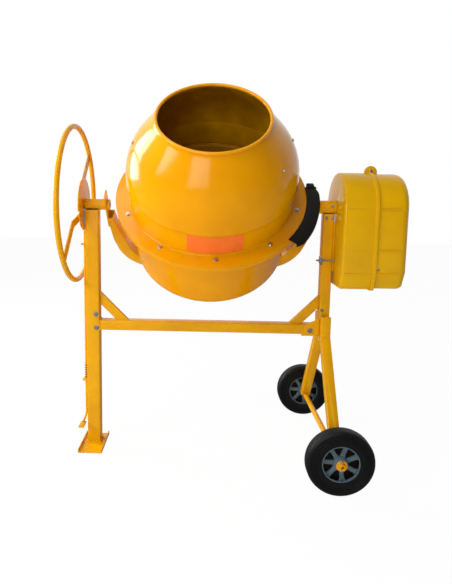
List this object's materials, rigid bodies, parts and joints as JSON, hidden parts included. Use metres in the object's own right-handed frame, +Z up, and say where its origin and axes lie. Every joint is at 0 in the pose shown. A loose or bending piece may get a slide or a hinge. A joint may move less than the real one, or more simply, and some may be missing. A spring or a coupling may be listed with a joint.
{
  "type": "concrete mixer",
  "caption": "Tipping drum concrete mixer: sheet steel drum in a tilting yoke with handwheel and notched lock, belt and bevel gear drive, on a wheeled tube frame.",
  "frame": {"origin": "on the floor under the left post, at the underside of the foot plate", "axes": "+X from the handwheel towards the motor housing, -Y the side the drum's mouth leans to, +Z up"},
  "size_m": [1.0679, 0.6788, 1.2032],
  "materials": {
    "frame_enamel": "glossy yellow enamel on steel tube",
    "drum_enamel": "high gloss yellow enamel on pressed sheet",
    "housing_plastic": "moulded yellow plastic, satin gloss",
    "black_plastic": "moulded black plastic",
    "rim_plastic": "moulded grey plastic",
    "tyre_rubber": "smooth black rubber",
    "zinc_steel": "zinc plated",
    "bare_steel": "machined steel",
    "cast_iron": "as cast",
    "blade_steel": "dull painted steel",
    "spring_steel": "blackened spring steel",
    "belt_rubber": "ribbed belt rubber",
    "motor_paint": "blue grey motor paint",
    "green_button": "green push button",
    "red_button": "red push button"
  },
  "bodies": {
    "frame": {"foot_plate": "frame_enamel", "left_post": "frame_enamel", "right_post": "frame_enamel", "cross_beam": "frame_enamel", "beam_bracket": "frame_enamel", "left_brace": "frame_enamel", "right_brace": "frame_enamel", "front_leg": "frame_enamel", "rear_leg": "frame_enamel", "axle": "frame_enamel", "front_split_pin": "zinc_steel", "rear_split_pin": "zinc_steel", "front_washer": "frame_enamel", "rear_washer": "frame_enamel", "left_bearing_tube": "frame_enamel", "right_bearing_tube": "frame_enamel", "tension_bolt": "zinc_steel", "wing_nut": "zinc_steel", "housing_shell": "housing_plastic", "housing_cover": "housing_plastic", "motor_partition": "bare_steel", "housing_bracket": "bare_steel", "motor_body": "motor_paint", "switch_box": "black_plastic", "power_inlet": "black_plastic", "lock_spring": "spring_steel", "rod_guide_upper": "frame_enamel", "rod_guide_lower": "frame_enamel", "drive_belt": "belt_rubber"},
    "tilting_yoke": {"yoke": "frame_enamel", "left_trunnion": "frame_enamel", "right_trunnion": "frame_enamel", "spindle_bearing": "cast_iron", "gear_guard": "black_plastic", "lock_disc": "frame_enamel", "handwheel_rim": "frame_enamel", "handwheel_bar": "frame_enamel", "hub_bolt": "zinc_steel"},
    "drum": {"drum_bowl": "drum_enamel", "drum_band": "drum_enamel", "drum_pan": "drum_enamel", "left_blade": "blade_steel", "right_blade": "blade_steel", "ring_gear": "cast_iron", "drum_spindle": "bare_steel", "spindle_nut": "zinc_steel"},
    "drive": {"drive_shaft": "bare_steel", "large_pulley": "cast_iron", "bevel_pinion": "cast_iron"},
    "motor_rotor": {"motor_shaft": "bare_steel", "motor_fan": "black_plastic", "motor_pulley": "bare_steel"},
    "front_wheel": {"front_tyre": "tyre_rubber", "front_rim": "rim_plastic"},
    "rear_wheel": {"rear_tyre": "tyre_rubber", "rear_rim": "rim_plastic"},
    "lock_bar": {"lock_rod": "frame_enamel", "spring_collar": "zinc_steel"},
    "start_push": {"start_button": "green_button"},
    "stop_push": {"stop_button": "red_button"}
  },
  "joints": [
    {"name": "drum_tilt", "type": "hinge", "parent": "frame", "child": "tilting_yoke", "pos_m": [0.394, 0, 0.834], "axis": [1, 0, 0], "range_deg": [-72, 72]},
    {"name": "drum_spin", "type": "hinge", "parent": "tilting_yoke", "child": "drum", "pos_m": [0.394, 0, 0.834], "axis": [0, -0.6833, 0.7302], "continuous": true},
    {"name": "drive_spin", "type": "hinge", "parent": "tilting_yoke", "child": "drive", "pos_m": [0.394, 0, 0.834], "axis": [1, 0, 0], "continuous": true},
    {"name": "motor_spin", "type": "hinge", "parent": "frame", "child": "motor_rotor", "pos_m": [0.95, 0, 0.664], "axis": [1, 0, 0], "continuous": true},
    {"name": "front_wheel_roll", "type": "hinge", "parent": "frame", "child": "front_wheel", "pos_m": [0.78, -0.279, 0.1], "axis": [0, 1, 0], "continuous": true},
    {"name": "rear_wheel_roll", "type": "hinge", "parent": "frame", "child": "rear_wheel", "pos_m": [0.78, 0.279, 0.1], "axis": [0, 1, 0], "continuous": true},
    {"name": "lock_slide", "type": "slide", "parent": "frame", "child": "lock_bar", "axis": [0, 0, 1], "range_m": [0, 0.014], "deforming": ["lock_spring"]},
    {"name": "start_press", "type": "slide", "parent": "frame", "child": "start_push", "axis": [0, -1, 0], "range_m": [0, 0.004], "stiffness_N_per_m": 300},
    {"name": "stop_press", "type": "slide", "parent": "frame", "child": "stop_push", "axis": [0, -1, 0], "range_m": [0, 0.004], "stiffness_N_per_m": 300}
  ],
  "couplings": [
    {"joint": "drive_spin", "follows": "drum_spin", "ratio": -9.5},
    {"joint": "motor_spin", "follows": "drum_spin", "ratio": -44.872}
  ]
}
